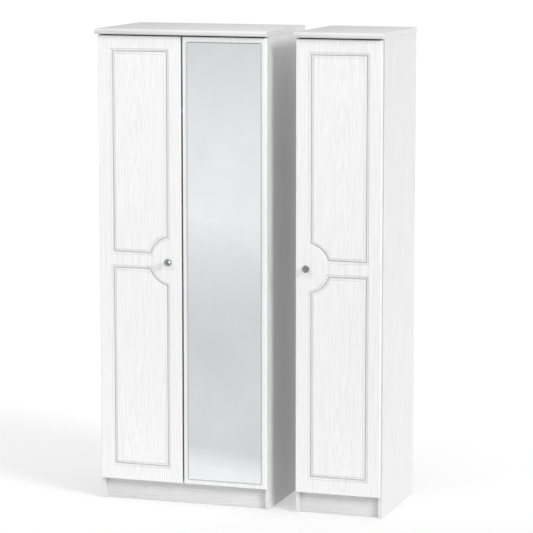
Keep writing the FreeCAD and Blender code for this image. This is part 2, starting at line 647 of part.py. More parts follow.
# ---- the whole wardrobe -------------------------------------------------------------------
def build_wardrobe():
    double = Cabinet("double", DOUBLE_WIDTH, 0.0)
    double.make_hanging_rail()
    double.make_hinge_mounts(right_hand=False)
    double.make_hinge_mounts(right_hand=True)
    double.build()
    double_door_w = (DOUBLE_WIDTH - 2 * DOOR_REVEAL - DOOR_MEETING_GAP) / 2
    make_door("left_door", double, double_door_w, right_hand=False, mirrored_glass=False)
    make_door("mirror_door", double, double_door_w, right_hand=True, mirrored_glass=True)

    single = Cabinet("single", SINGLE_WIDTH, DOUBLE_WIDTH + CABINET_GAP)
    single.make_loose_shelves()
    single.make_hinge_mounts(right_hand=True)
    single.build()
    single_door_w = SINGLE_WIDTH - 2 * DOOR_REVEAL
    make_door("single_door", single, single_door_w, right_hand=True, mirrored_glass=False)


def export_nodes():
    os.makedirs("parts", exist_ok=True)
    for name, solids in nodes.items():
        shape = solids[0] if len(solids) == 1 else Part.makeCompound(solids)
        shape.exportStep(f"parts/{name}.step")


build_wardrobe()
export_nodes()
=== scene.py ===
import json
import math

import bmesh
import bpy
import numpy as np
from bpy.props import FloatProperty, FloatVectorProperty, IntProperty, PointerProperty
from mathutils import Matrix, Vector
from mathutils.geometry import delaunay_2d_cdt


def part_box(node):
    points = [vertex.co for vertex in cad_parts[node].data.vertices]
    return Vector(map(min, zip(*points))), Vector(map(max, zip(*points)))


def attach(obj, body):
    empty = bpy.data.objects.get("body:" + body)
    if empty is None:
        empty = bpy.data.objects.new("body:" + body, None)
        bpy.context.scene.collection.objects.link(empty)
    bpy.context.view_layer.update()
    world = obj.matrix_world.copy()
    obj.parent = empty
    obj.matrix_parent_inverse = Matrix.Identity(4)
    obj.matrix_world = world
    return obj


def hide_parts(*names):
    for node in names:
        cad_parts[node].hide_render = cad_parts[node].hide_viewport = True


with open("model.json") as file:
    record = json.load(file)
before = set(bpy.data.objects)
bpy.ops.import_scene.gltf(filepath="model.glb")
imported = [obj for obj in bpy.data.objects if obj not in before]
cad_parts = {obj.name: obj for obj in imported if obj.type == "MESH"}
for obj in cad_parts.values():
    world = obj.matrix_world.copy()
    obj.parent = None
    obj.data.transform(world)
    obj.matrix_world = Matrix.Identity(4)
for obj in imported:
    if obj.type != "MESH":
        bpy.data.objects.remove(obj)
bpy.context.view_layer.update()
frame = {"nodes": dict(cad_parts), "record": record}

bl_info = {
    "name": "Panelled wardrobe",
    "version": (1, 0, 0),
    "blender": (4, 5, 0),
    "location": "View3D > Sidebar > Wardrobe",
    "description": "Dresses the frame of a two-cabinet wardrobe with moulded doors, a mirror and cut knobs",
    "category": "Add Mesh",
}

MM = 0.001

# Each panelled door: the name its nodes' names start with, and the side its hinges are on.
PANELLED_DOORS = (("left_door", "left"), ("single_door", "right"))
MIRROR_DOOR = "mirror_door"
DOORS = ("left_door", MIRROR_DOOR, "single_door")
CABINETS = ("double", "single")

# Board edges: the rounded front of a top board, its other edges, and the edges of a plinth.
TOP_FRONT_RADIUS = 8.0 * MM
TOP_EASE = 1.2 * MM
PLINTH_EASE = 0.8 * MM

# Heights of the middle of the grain's figure on the panelled doors, the mirror door and the sides.
DOOR_FIGURE = 0.9
MIRROR_FIGURE = 1.3
SIDE_FIGURE = 0.9

# The stage, in metres: half the floor's width, the softbox's size, place and aim, and the camera's aim
# and farthest sight. The sensor's width is in millimetres.
FLOOR_REACH = 250.0
SOFTBOX_SIZE = (2.4, 1.6)
SOFTBOX_PLACE = (-0.5, -3.6, 3.4)
SOFTBOX_AIM = (0.0, 0.0, 1.5)
CAMERA_AIM = (0.0464, 0.0, 0.9816)
CAMERA_SIGHT = 200.0
SENSOR_WIDTH = 36.0

# The light that the floor gives off, as pairs: metres in front of the wardrobe, and how much.
FLOOR_GLOW = (
    (-2.0, 0.40), (0.3, 0.34), (0.75, 0.28), (1.1, 0.04), (3.1, 0.02),
    (5.8, 0.18), (7.6, 0.30), (12.7, 0.25), (21.6, 0.14), (30.0, 0.10),
)


# ---- what a user can change -------------------------------------------------------------
def length(name, millimetres, description):
    return FloatProperty(name=name, description=description, default=millimetres * MM, min=0.0,
                         subtype="DISTANCE", unit="LENGTH")


def colour(name, value, description):
    return FloatVectorProperty(name=name, description=description, default=value, size=3,
                               min=0.0, max=1.0, subtype="COLOR")


def share(name, value, description, top=1.0):
    return FloatProperty(name=name, description=description, default=value, min=0.0, max=top)


class WardrobeDoorSizes(bpy.types.PropertyGroup):
    """Sizes of the moulded door faces."""

    edge_radius: length("Front edge radius", 4.0, "Rounding around the front of a door")
    back_ease: length("Back edge easing", 0.6, "Small chamfer around the back of a door")
    field_margin: length("Field margin", 51.0, "Door edge to the moulding at the sides and top")
    field_margin_low: length("Lower field margin", 56.0, "Door bottom to the moulding")
    mid_rail_level: length("Middle rail level", 1018.0, "Floor to the middle of the rail between the fields")
    mid_rail_height: length("Middle rail height", 43.0, "Height of the rail between the two fields")
    moulding_width: length("Moulding width", 24.0, "Width of the routed moulding")
    moulding_depth: length("Moulding depth", 7.5, "Depth of the routed moulding")
    quirk: length("Quirk", 1.8, "Depth of the small step at each side of the moulding")
    crease_share: share("Crease share", 0.42, "Share of the depth that is cut close to the crease")
    sweep_radius: length("Sweep radius", 91.0, "Radius of the moulding's sweep around the knob")
    sweep_inset: length("Sweep inset", 40.0, "Door edge to the middle of that sweep")
    cup_radius: length("Cup radius", 17.5, "Radius of the hinge cups let into the door's back")
    cup_depth: length("Cup depth", 13.0, "Depth of the hinge cups")
    mirror_arris: length("Mirror arris", 3.0, "Width of the ground bevel around the mirror")
    mirror_corner: length("Mirror corner radius", 4.0, "Radius of the mirror's corners")


class WardrobeKnobSizes(bpy.types.PropertyGroup):
    """Sizes of the cut knobs."""

    sides: IntProperty(name="Facet columns", description="Columns of facets around the knob", default=8,
                       min=6)
    crown_share: share("Crown ring", 0.80, "Radius of the ring between table and girdle, as a share")
    table_share: share("Table ring", 0.50, "Radius of the flat front, as a share")
    seat_share: share("Seat ring", 0.62, "Radius where the crystal meets its base, as a share")


class WardrobeFinishes(bpy.types.PropertyGroup):
    """Colours and surface detail of the finishes."""

    foil: colour("Door foil", (0.84, 0.84, 0.84), "Colour of the embossed white foil on the doors")
    # Painted shade: the cabinets' foil is the doors' white foil set darker, so their sides, tops and plinths
    # read shaded.
    carcass_shaded_foil: colour("Carcass foil", (0.70, 0.70, 0.70), "Colour of the white foil on the cabinets")
    pore_shade: share("Pore shade", 0.84, "Brightness down in the embossed grain, as a share")
    # Painted shade: the door foil is darkened down in each moulding, most at its crease.
    groove_painted_shade: share("Groove shade", 0.70, "Brightness at the bottom of a moulding, as a share")
    board: colour("Board", (0.86, 0.86, 0.855), "Colour of the plain white board inside")
    hardboard: colour("Hardboard", (0.82, 0.82, 0.81), "Colour of the painted back panels")
    silver: colour("Silvering", (0.90, 0.91, 0.925), "Tint of the mirror")
    emboss: length("Emboss depth", 0.25, "Depth of the embossed grain")
    foil_roughness: share("Foil roughness", 0.42, "Roughness of the white foil")


class WardrobeStage(bpy.types.PropertyGroup):
    """Camera and light."""

    azimuth: FloatProperty(name="Azimuth", description="Camera to the right of straight ahead",
                           default=math.radians(18.11), subtype="ANGLE", unit="ROTATION")
    elevation: FloatProperty(name="Elevation", description="Camera above the horizon",
                             default=math.radians(8.33), subtype="ANGLE", unit="ROTATION")
    distance: length("Distance", 10882.0, "Camera to the point it looks at")
    lens: FloatProperty(name="Lens", description="Focal length on a 36 mm sensor", default=176.9,
                        subtype="DISTANCE_CAMERA")
    key_strength: share("Key strength", 1.85, "Strength of the soft key light", 20.0)
    key_softness: FloatProperty(name="Key softness", description="Angle that the key light fills",
                                default=math.radians(20.0), subtype="ANGLE", unit="ROTATION")
    key_azimuth: FloatProperty(name="Key azimuth", description="Key light to the right of straight ahead",
                               default=math.radians(64.0), subtype="ANGLE", unit="ROTATION")
    key_elevation: FloatProperty(name="Key elevation", description="Key light above the horizon",
                                 default=math.radians(24.0), subtype="ANGLE", unit="ROTATION")
    softbox_power: FloatProperty(name="Softbox power", description="Power of the softbox in watts",
                                 default=30.0, min=0.0)
    sky_strength: share("Sky strength", 1.00, "Strength of the surrounding light", 4.0)
    back_share: share("Back share", 0.05, "Strength of the surrounding light from behind, as a share")


# ---- loops, shells and pieces -----------------------------------------------------------
def loop_faces(count, loops):
    """Quads between neighbouring closed loops: face (k, i) joins points i and i + 1 of loops k and
    k + 1."""
    i = np.arange(count)
    j = (i + 1) % count
    k = np.arange(loops - 1)[:, None] * count
    return np.stack([k + i, k + j, k + j + count, k + i + count], axis=-1).reshape(-1, 4)


def inside(points, loop):
    """Even-odd test: a point is inside where a ray along the first axis crosses the loop an odd number
    of times."""
    a = loop[None]
    b = np.roll(loop, -1, axis=0)[None]
    p = points[:, None]
    spans = (a[..., 1] > p[..., 1]) != (b[..., 1] > p[..., 1])
    rise = np.where(spans, b[..., 1] - a[..., 1], 1.0)
    crossing = a[..., 0] + (p[..., 1] - a[..., 1]) * (b[..., 0] - a[..., 0]) / rise
    return (np.sum(spans & (p[..., 0] < crossing), axis=1) % 2) == 1


def quarter(radius, steps):
    """Inset and depth of a quarter round, from the flat face to the side: r(1 - sin a), r(1 - cos a)."""
    a = np.linspace(0.0, math.pi / 2, steps)
    return np.stack([radius * (1 - np.sin(a)), radius * (1 - np.cos(a))], axis=1)


class Shell:
    """Patches of one closed piece, gathered, welded where their edges meet and turned outwards."""

    WELD = 1e-6
    SLIVER = 1e-7
    TRIANGULATION_GAP = 1e-9

    def __init__(self):
        self.points = []
        self.faces = []
        self.smooth = []
        self.count = 0

    def add(self, points, faces, smooth):
        """One patch: its points, and faces that count from its own first point."""
        points = np.asarray(points, float).reshape(-1, 3)
        self.points.append(points)
        self.faces.extend((np.asarray(faces) + self.count).tolist())
        self.smooth.extend([smooth] * len(faces))
        self.count += len(points)

    def add_loops(self, loops, smooth=True):
        """A skin over closed loops that all have the same number of points."""
        loops = np.asarray(loops, float)
        self.add(loops, loop_faces(loops.shape[1], loops.shape[0]), smooth)

    def add_cap(self, loop):
        """One flat face that fills a loop."""
        self.add(loop, np.arange(len(loop))[None], False)

    def add_plate(self, outer, holes, place):
        """A flat plate with openings: one constrained triangulation of all loops, without the triangles
        whose middle is in an opening. place turns its two coordinates into a point."""
        loops = [outer, *holes]
        edges = []
        start = 0
        for loop in loops:
            step = np.arange(len(loop))
            edges.append(np.stack([step, (step + 1) % len(loop)], axis=1) + start)
            start += len(loop)
        flat = [Vector(point) for point in np.concatenate(loops)]
        made = delaunay_2d_cdt(flat, np.concatenate(edges).tolist(), [], 0, self.TRIANGULATION_GAP)
        points = np.array([point[:] for point in made[0]])
        triangles = np.array(made[2])
        middles = points[triangles].mean(axis=1)
        kept = ~np.any([inside(middles, hole) for hole in holes], axis=0) if holes else slice(None)
        self.add(place(points), triangles[kept], False)

    def object(self, name, sharp_degrees=40.0):
        """The finished piece. Edges that turn by more than the sharp angle stay crisp."""
        mesh = bpy.data.meshes.new(name)
        mesh.from_pydata(np.concatenate(self.points).tolist(), [], self.faces)
        mesh.polygons.foreach_set("use_smooth", self.smooth)
        shape = bmesh.new()
        shape.from_mesh(mesh)
        bmesh.ops.remove_doubles(shape, verts=shape.verts, dist=self.WELD)
        bmesh.ops.dissolve_degenerate(shape, dist=self.SLIVER, edges=shape.edges)
        bmesh.ops.recalc_face_normals(shape, faces=shape.faces)
        shape.to_mesh(mesh)
        shape.free()
        smooth = np.empty(len(mesh.polygons), bool)
        mesh.polygons.foreach_get("use_smooth", smooth)
        mesh.set_sharp_from_angle(angle=math.radians(sharp_degrees))
        # Marking the sharp edges smooths every face, so the flat ones are put back.
        mesh.polygons.foreach_set("use_smooth", smooth)
        piece = bpy.data.objects.new(name, mesh)
        bpy.context.scene.collection.objects.link(piece)
        return piece


def store(mesh, name, domain, values):
    """Keeps one number for each point or face of a mesh, for its material to read."""
    column = mesh.attributes.new(name, "FLOAT", domain).data
    column.foreach_set("value", np.asarray(values, np.float32))


def painted_groove_shade_mask(mesh, plan, sizes):
    """How far down in the moulding each point lies, 0 at the face to 1 at the crease: its depth behind the
    door's face over the moulding's depth, and 0 on the door's edges and back. It is the mask of the shade
    that is painted into the mouldings."""
    points = np.empty(len(mesh.vertices) * 3)
    mesh.vertices.foreach_get("co", points)
    x, y, z = points.reshape(-1, 3).T
    rim = sizes.sweep_inset / 2
    tolerance = 0.001
    across = (x > plan.low.x + rim) & (x < plan.high.x - rim)
    along = (z > plan.low.z + rim) & (z < plan.high.z - rim)
    depth = (y - plan.low.y) / sizes.moulding_depth
    return np.where(across & along & (depth <= 1 + tolerance), np.clip(depth, 0.0, 1.0), 0.0)


def place_piece(piece, part, material):
    """Hands a finished piece to the frame in place of a part and finish."""
    piece.data.materials.append(material)
    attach(piece, body_of(part))
    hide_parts(part)


def body_of(part):
    """The name of the body that a part belongs to."""
    for body, members in frame["record"]["behaviour"]["bodies"].items():
        if part in members:
            return body
    raise RuntimeError(f"no body holds {part}")


def box_loop(low, high, inset, corner=0.0, steps=1):
    """Closed loop of a rectangle, optionally with round corners: corner centres plus a radius that shrinks
    with the inset, swept a quarter turn at each corner."""
    radius = max(corner - inset, 0.0)
    shrink = inset + radius
    signs = np.array([[1, 1], [-1, 1], [-1, -1], [1, -1]])
    middle = (np.array(low) + np.array(high)) / 2
    half = (np.array(high) - np.array(low)) / 2 - shrink
    turns = np.arange(4)[:, None] * math.pi / 2 + np.linspace(0, math.pi / 2, steps)[None]
    arcs = radius * np.stack([np.cos(turns), np.sin(turns)], axis=-1)
    return (middle + signs[:, None] * half + arcs).reshape(-1, 2)


def turned(profile, centre, steps):
    """Loops of a turned piece about a line along Y: radius r at depth y, carried round a full turn."""
    turn = np.linspace(0, 2 * math.pi, steps, endpoint=False)
    radius, depth = np.asarray(profile, float).T
    x = centre[0] + radius[:, None] * np.cos(turn)
    z = centre[1] + radius[:, None] * np.sin(turn)
    return np.stack([x, np.broadcast_to(depth[:, None], x.shape), z], axis=-1)


# ---- doors ------------------------------------------------------------------------------
class DoorPlan:
    """Where a door lies. u runs across the door from its hinge edge, z up, and y is depth."""

    def __init__(self, name, hinge_side):
        low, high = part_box(f"{name}_panel")
        self.name = name
        self.low = low
        self.high = high
        self.width = high.x - low.x
        self.hinge_side = hinge_side

    def x(self, u):
        return self.low.x + u if self.hinge_side == "left" else self.high.x - u

    def at(self, flat, y):
        """Points (u, z) of the door's face as points of the wardrobe at depth y."""
        flat = np.asarray(flat, float)
        return np.stack([self.x(flat[..., 0]), np.full(flat.shape[:-1], y), flat[..., 1]], axis=-1)

    def cup_centres(self):
        """Middles of the hinge cups: the box around the cups gives their column, and the hinge pins
        their levels."""
        cup_low, cup_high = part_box(f"{self.name}_hinge_cups")
        column = (cup_low.x + cup_high.x) / 2
        u = column - self.low.x if self.hinge_side == "left" else self.high.x - column
        return [(u, level) for level in solid_levels(f"{self.name}_hinge_pins")]


def solid_levels(part, gap=60 * MM):
    """Middle heights of the separate solids of a part, which stand more than a gap apart."""
    mesh = frame["nodes"][part].data
    heights = np.empty(len(mesh.vertices) * 3)
    mesh.vertices.foreach_get("co", heights)
    heights = np.sort(heights[2::3])
    breaks = np.flatnonzero(np.diff(heights) > gap)
    groups = np.split(heights, breaks + 1)
    return [(group[0] + group[-1]) / 2 for group in groups]


def field_outline(sizes, plan, upper, inset, steps=28):
    """Outline of a raised field as points (u, z): a rectangle drawn in by the inset, with the corner beside
    the knob taken away by an arc whose radius grows by the same inset."""
    level = sizes.mid_rail_level
    toward = 1.0 if upper else -1.0
    left = sizes.field_margin + inset
    right = plan.width - sizes.field_margin - inset
    near = level + toward * (sizes.mid_rail_height / 2 + inset)
    far = plan.high.z - sizes.field_margin - inset if upper else plan.low.z + sizes.field_margin_low + inset
    centre = plan.width - sizes.sweep_inset
    radius = sizes.sweep_radius + inset
    start = math.pi - math.asin((near - level) / radius * toward)
    end = math.pi - math.acos((centre - right) / radius)
    sweep = np.linspace(start, end, steps)
    arc = np.stack([centre + radius * np.cos(sweep), level + toward * radius * np.sin(sweep)], axis=1)
    corners = np.array([[right, far], [left, far], [left, near]])
    return np.concatenate([arc, corners])


def moulding_profile(sizes, steps=41):
    """Inset and depth of the moulding: a V-shaped quirk at each side, and between them two coved flanks that
    meet in a cut crease. With s = 1 - |2t - 1| over its share t, the depth is
    lip + (depth - lip)((1 - cut) s^1.4 + cut s^9), so the last term falls only close to the crease."""
    cove, crease = 1.4, 9
    edge = 1.6 * sizes.quirk
    lip = 0.7 * sizes.quirk
    t = np.linspace(0.0, 1.0, steps)
    s = 1 - np.abs(2 * t - 1)
    cut = sizes.crease_share
    flanks = lip + (sizes.moulding_depth - lip) * ((1 - cut) * s ** cove + cut * s ** crease)
    inset = edge + t * (sizes.moulding_width - 2 * edge)
    rise = np.array([[0.0, 0.0], [0.4 * edge, 1.5 * sizes.quirk]])
    fall = np.stack([sizes.moulding_width - rise[::-1, 0], rise[::-1, 1]], axis=1)
    return np.concatenate([rise, np.stack([inset, flanks], axis=1), fall])


def door_body(plan, sizes, holes):
    """Front, edges and back of a door board. The front's openings are left for the mouldings, and the back
    has a round pocket for each hinge cup."""
    shell = Shell()
    front, back = plan.low.y, plan.high.y
    low, high = (0.0, plan.low.z), (plan.width, plan.high.z)
    ease = sizes.back_ease
    rounding = quarter(sizes.edge_radius, 9)
    rim = [plan.at(box_loop(low, high, inset), front + depth) for inset, depth in rounding]
    rim.append(plan.at(box_loop(low, high, 0.0), back - ease))
    rim.append(plan.at(box_loop(low, high, ease), back))
    shell.add_loops(rim)
    shell.add_plate(box_loop(low, high, sizes.edge_radius), holes, lambda flat: plan.at(flat, front))
    turn = np.linspace(0, 2 * math.pi, 40, endpoint=False)
    circle = sizes.cup_radius * np.stack([np.cos(turn), np.sin(turn)], axis=1)
    cups = [circle + np.array(centre) for centre in plan.cup_centres()]
    shell.add_plate(box_loop(low, high, ease), cups, lambda flat: plan.at(flat, back))
    for cup in cups:
        shell.add_loops([plan.at(cup, back), plan.at(cup, back - sizes.cup_depth)])
        shell.add_cap(plan.at(cup, back - sizes.cup_depth))
    return shell


class WARDROBE_OT_panelled_doors(bpy.types.Operator):
    """Make the two panelled doors, with a moulding carried around each raised field"""

    bl_idname = "wardrobe.panelled_doors"
    bl_label = "Panelled Doors"

    def execute(self, context):
        sizes = context.scene.wardrobe_doors
        tint = context.scene.wardrobe_finishes.foil
        profile = moulding_profile(sizes)
        for name, hinge_side in PANELLED_DOORS:
            plan = DoorPlan(name, hinge_side)
            front = plan.low.y
            holes = [field_outline(sizes, plan, upper, 0.0) for upper in (True, False)]
            shell = door_body(plan, sizes, holes)
            for upper in (True, False):
                loops = [plan.at(field_outline(sizes, plan, upper, inset), front + depth)
                         for inset, depth in profile]
                shell.add_loops(loops)
                shell.add_cap(loops[-1])
            piece = shell.object(f"{name}_moulded")
            # Keeps the mask of the shade painted into the mouldings.
            store(piece.data, "painted_shade_depth", "POINT", painted_groove_shade_mask(piece.data, plan, sizes))
            figure = (plan.x(plan.width * 0.45), front, DOOR_FIGURE)
            foil = woodgrain(f"{name}_foil", figure, "Z", "Y", tint)
            place_piece(piece, f"{name}_panel", foil)
        return {"FINISHED"}


class WARDROBE_OT_mirror_door(bpy.types.Operator):
    """Make the mirror door's board and its glass with a ground bevel"""

    bl_idname = "wardrobe.mirror_door"
    bl_label = "Mirror Door"

    def execute(self, context):
        sizes = context.scene.wardrobe_doors
        plan = DoorPlan(MIRROR_DOOR, "right")
        board = door_body(plan, sizes, []).object(f"{MIRROR_DOOR}_board")
        figure = (plan.x(100.0 * MM), plan.low.y, MIRROR_FIGURE)
        foil = woodgrain(f"{MIRROR_DOOR}_foil", figure, "Z", "Y", context.scene.wardrobe_finishes.foil)
        place_piece(board, f"{MIRROR_DOOR}_panel", foil)

        low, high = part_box(f"{MIRROR_DOOR}_glass")
        arris = sizes.mirror_arris
        shell = Shell()

        def at(inset, y):
            flat = box_loop((low.x, low.z), (high.x, high.z), inset, sizes.mirror_corner, 7)
            return np.insert(flat, 1, y, axis=1)

        ease = arris / 4
        loops = [at(ease, high.y), at(0.0, high.y - ease), at(0.0, low.y + arris), at(arris, low.y)]
        shell.add_loops(loops, smooth=False)
        shell.add_cap(loops[0])
        shell.add_cap(loops[-1])
        piece = shell.object("mirror_plate")
        normals = np.empty(len(piece.data.polygons) * 3)
        piece.data.polygons.foreach_get("normal", normals)
        straight_out = 0.99
        # Marks the bevel's faces: a rougher ground finish whose darker silvering is partly painted shade.
        store(piece.data, "ground", "FACE", np.abs(normals[1::3]) < straight_out)
        place_piece(piece, f"{MIRROR_DOOR}_glass", silvered_glass())
        return {"FINISHED"}


# ---- knobs ------------------------------------------------------------------------------
class WARDROBE_OT_knobs(bpy.types.Operator):
    """Make the cut crystal knobs and their turned bases"""

    bl_idname = "wardrobe.knobs"
    bl_label = "Knobs"

    def execute(self, context):
        sizes = context.scene.wardrobe_knobs
        crystal = cut_crystal()
        chrome = polished_chrome()
        for name, _ in PANELLED_DOORS:
            self.make_crystal(sizes, name, crystal)
            self.make_base(name, chrome)
        return {"FINISHED"}

    def make_crystal(self, sizes, name, material):
        """Rings of points about the knob's axis. A band between a ring and one that is turned half a step
        from it is a row of triangles pointing forward and back in turn, and the girdle is a row of quads."""
        low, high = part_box(f"{name}_knob_crystal")
        radius = (high.z - low.z) / 2
        # Each ring, from the flat front to the seat: share of the radius, share of the depth, turn in steps.
        rings = np.array([
            (sizes.table_share, 0.0, 0.0),
            (sizes.crown_share, 0.16, 0.5),
            (1.0, 0.50, 0.0),
            (1.0, 0.62, 0.0),
            (0.84, 0.84, 0.5),
            (sizes.seat_share, 1.0, 0.0),
        ])
        n = sizes.sides
        step = 2 * math.pi / n
        turn = (np.arange(n)[None] + rings[:, 2:3]) * step + step / 2
        x = (low.x + high.x) / 2 + radius * rings[:, :1] * np.cos(turn)
        z = (low.z + high.z) / 2 + radius * rings[:, :1] * np.sin(turn)
        y = np.broadcast_to(low.y + (high.y - low.y) * rings[:, 1:2], x.shape)
        points = np.stack([x, y, z], axis=-1)
        i = np.arange(n)
        j = (i + 1) % n
        # Faces of a band, by how far its second ring is turned from its first.
        bands = {
            0.0: loop_faces(n, 2),
            0.5: np.concatenate([np.stack([i, j, i + n], 1), np.stack([j, j + n, i + n], 1)]),
            -0.5: np.concatenate([np.stack([i, j + n, i + n], 1), np.stack([i, j, j + n], 1)]),
        }
        shell = Shell()
        for band, turned_by in enumerate(np.diff(rings[:, 2])):
            shell.add(points[band:band + 2], bands[turned_by], False)
        shell.add_cap(points[0])
        shell.add_cap(points[-1])
        piece = shell.object(f"{name}_cut_knob")
        place_piece(piece, f"{name}_knob_crystal", material)

    def make_base(self, name, material):
        """A turned profile: flat rose with a rounded rim, waist, bead and a cup that opens to the crystal.
        Its points are shares of the rim's radius, and of the depth from the door to the front."""
        low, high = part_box(f"{name}_knob_base")
        centre = ((low.x + high.x) / 2, (low.z + high.z) / 2)
        a = np.linspace(0, math.pi / 2, 6)
        b = np.linspace(-math.pi / 2, math.pi / 2, 7)
        w = np.linspace(0, 1, 9)
        back = [[0.95, 0.0]]
        rose = np.stack([0.87 + 0.08 * np.cos(a), 0.10 + 0.08 * np.sin(a)], 1)
        step = [[0.70, 0.19], [0.66, 0.25]]
        waist = np.stack([0.42 + 0.18 * (2 * w - 1) ** 2, 0.27 + 0.26 * w], 1)
        bead = np.stack([0.60 + 0.08 * np.cos(b), 0.59 + 0.05 * np.sin(b)], 1)
        cup = np.stack([0.60 + 0.40 * np.sin(w * math.pi / 2), 0.66 + 0.32 * w], 1)
        front = [[0.97, 1.0]]
        radius, depth = np.concatenate([back, rose, step, waist, bead, cup, front]).T
        rim = (high.z - low.z) / 2
        profile = np.stack([rim * radius, high.y - (high.y - low.y) * depth], 1)
        shell = Shell()
        loops = turned(profile, centre, 48)
        shell.add_loops(loops)
        shell.add_cap(loops[0])
        shell.add_cap(loops[-1])
        place_piece(shell.object(f"{name}_turned_base"), f"{name}_knob_base", material)


# ---- boards -----------------------------------------------------------------------------
def eased_board(low, high, front_radius, ease, steps=9):
    """A board that runs along X. Its section is a rectangle with a large radius along the front and a small
    one along the rear, and both ends are eased by drawing the section in over a quarter round."""
    least_radius = 0.05 * MM

    def section(inset):
        loop = []
        corners = (((high.y, high.z), ease, 0), ((low.y, high.z), front_radius, 1),
                   ((low.y, low.z), front_radius, 2), ((high.y, low.z), ease, 3))
        for (y, z), radius, turn in corners:
            a = np.linspace(0, math.pi / 2, steps) + turn * math.pi / 2
            inner = max(radius - inset, least_radius)
            side = np.sign(np.array([y, z]) - np.array([(low.y + high.y) / 2, (low.z + high.z) / 2]))
            centre = np.array([y, z]) - side * (inset + inner)
            loop.append(centre + inner * np.stack([np.cos(a), np.sin(a)], axis=1))
        return np.concatenate(loop)

    stations = [(inset, low.x + depth) for inset, depth in quarter(ease, 4)]
    stations += [(inset, high.x - depth) for inset, depth in quarter(ease, 4)[::-1]]
    loops = [np.insert(section(inset), 0, x, axis=1) for inset, x in stations]
    shell = Shell()
    shell.add_loops(loops)
    shell.add_cap(loops[0])
    shell.add_cap(loops[-1])
    return shell


class WARDROBE_OT_top_boards(bpy.types.Operator):
    """Make the top boards with their rounded front edges, and the plinths"""

    bl_idname = "wardrobe.top_boards"
    bl_label = "Top Boards and Plinths"

    def execute(self, context):
        # The cabinets' darker tint is painted shade on the tops and plinths.
        tint = context.scene.wardrobe_finishes.carcass_shaded_foil
        for name in CABINETS:
            low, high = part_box(f"{name}_top")
            foil = woodgrain(f"{name}_top_foil", ((low.x + high.x) / 2, 0.05, high.z), "X", "Z", tint)
            top = eased_board(low, high, TOP_FRONT_RADIUS, TOP_EASE).object(f"{name}_top_board")
            place_piece(top, f"{name}_top", foil)
            low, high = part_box(f"{name}_plinth")
            foil = woodgrain(f"{name}_plinth_foil", (low.x, low.y, 0.05), "X", "Y", tint)
            plinth = eased_board(low, high, PLINTH_EASE, PLINTH_EASE, 4).object(f"{name}_plinth_board")
            place_piece(plinth, f"{name}_plinth", foil)
        return {"FINISHED"}


class WARDROBE_OT_bumpers(bpy.types.Operator):
    """Make the soft domed dots that the doors close against"""

    bl_idname = "wardrobe.bumpers"
    bl_label = "Door Bumpers"

    def execute(self, context):
        # Each dot is a turned dome, r cos(a)^0.6 wide at height h sin(a), that stops short of its pole.
        a = np.linspace(0, math.pi / 2 * 0.96, 9)
        material = clear_rubber()
        for name in DOORS:
            part = f"{name}_bumpers"
            low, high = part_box(part)
            radius = (high.x - low.x) / 2
            profile = np.stack([radius * np.cos(a) ** 0.6, low.y + (high.y - low.y) * np.sin(a)], axis=1)
            shell = Shell()
            for level in solid_levels(part):
                loops = turned(profile, ((low.x + high.x) / 2, level), 24)
                shell.add_loops(loops)
                shell.add_cap(loops[0])
                shell.add_cap(loops[-1])
            place_piece(shell.object(f"{name}_dots"), part, material)
        return {"FINISHED"}


# ---- finishes ---------------------------------------------------------------------------
def new_tree(name):
    material = bpy.data.materials.new(name)
    material.use_nodes = True
    material.node_tree.nodes.clear()
    return material, material.node_tree


def node(tree, kind, settings=None, inputs=None):
    """Adds a node. Inputs are given by name or number, as a value or as a socket to join."""
    made = tree.nodes.new(kind)
    for key, value in (settings or {}).items():
        setattr(made, key, value)
    for key, value in (inputs or {}).items():
        if isinstance(value, bpy.types.NodeSocket):
            tree.links.new(value, made.inputs[key])
        else:
            made.inputs[key].default_value = value
    return made


def object_points(tree, scale, location=(0.0, 0.0, 0.0)):
    """The piece's own coordinates, centred and stretched."""
    points = node(tree, "ShaderNodeTexCoord").outputs["Object"]
    centred = node(tree, "ShaderNodeVectorMath", {"operation": "SUBTRACT"}, {0: points, 1: location})
    return node(tree, "ShaderNodeVectorMath", {"operation": "MULTIPLY"},
                {0: centred.outputs[0], 1: scale}).outputs[0]


def noise(tree, points, scale, detail=2.0, roughness=0.5, distortion=0.0):
    return node(tree, "ShaderNodeTexNoise", None, {
        "Vector": points, "Scale": scale, "Detail": detail, "Roughness": roughness,
        "Distortion": distortion}).outputs["Fac"]


def stretch(tree, value, low, high, to_low=0.0, to_high=1.0):
    return node(tree, "ShaderNodeMapRange", {"clamp": True}, {
        "Value": value, "From Min": low, "From Max": high,
        "To Min": to_low, "To Max": to_high}).outputs["Result"]


def maths(tree, operation, first, second):
    return node(tree, "ShaderNodeMath", {"operation": operation}, {0: first, 1: second}).outputs[0]


def blend_colours(tree, factor, first, second):
    """First colour where the factor is 0, second where it is 1. Each is a colour or a socket."""
    ends = [end if isinstance(end, bpy.types.NodeSocket) else (*end, 1.0) for end in (first, second)]
    return node(tree, "ShaderNodeMix", {"data_type": "RGBA"}, {0: factor, 6: ends[0], 7: ends[1]}).outputs[2]


def bump(tree, height, depth, strength=1.0):
    return node(tree, "ShaderNodeBump", None, {
        "Height": height, "Distance": depth, "Strength": strength}).outputs["Normal"]


def surface(tree, inputs):
    shader = node(tree, "ShaderNodeBsdfPrincipled", None, inputs)
    node(tree, "ShaderNodeOutputMaterial", None, {"Surface": shader.outputs["BSDF"]})
    return shader


def grain_scale(grain, face, along):
    """Scale of a pattern that is drawn out along the grain and hardly changes through the board."""
    scale = [1.0, 1.0, 1.0]
    scale["XYZ".index(face)] = 0.12
    scale["XYZ".index(grain)] = along
    return scale


